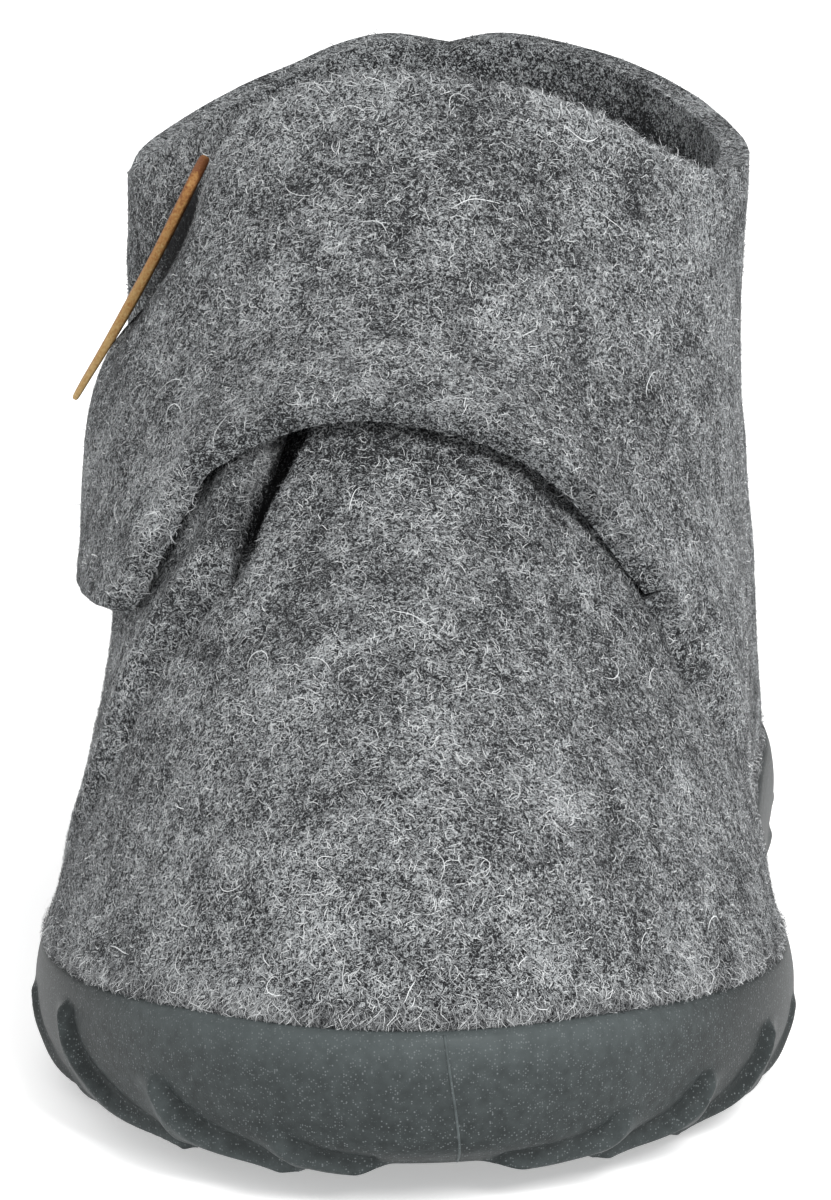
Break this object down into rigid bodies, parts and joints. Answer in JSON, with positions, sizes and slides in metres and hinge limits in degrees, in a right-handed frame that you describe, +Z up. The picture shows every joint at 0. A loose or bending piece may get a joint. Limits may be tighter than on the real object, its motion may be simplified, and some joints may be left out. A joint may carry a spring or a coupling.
{
  "type": "baby slipper",
  "caption": "Ankle-high wool felt baby slipper with a wrap-over felt strap, a leather tab and a lugged rubber cup sole, open at the collar for the foot.",
  "frame": {"origin": "on the floor under the middle of the shoe's box", "axes": "+Z up, toe towards -Y and heel towards +Y, outer side of the foot towards -X and inner side towards +X"},
  "size_m": [0.0676, 0.138, 0.0834],
  "materials": {
    "outsole": "matt dark slate grey moulded rubber with fine pale specks",
    "insole": "grey wool felt",
    "upper": "marled mid-grey wool felt",
    "strap": "marled mid-grey wool felt",
    "leather_tab": "smooth tan leather with raw cut edges"
  },
  "bodies": {
    "root": {"outsole": "outsole", "insole": "insole", "upper": "upper", "strap": "strap", "leather_tab": "leather_tab"}
  },
  "joints": []
}
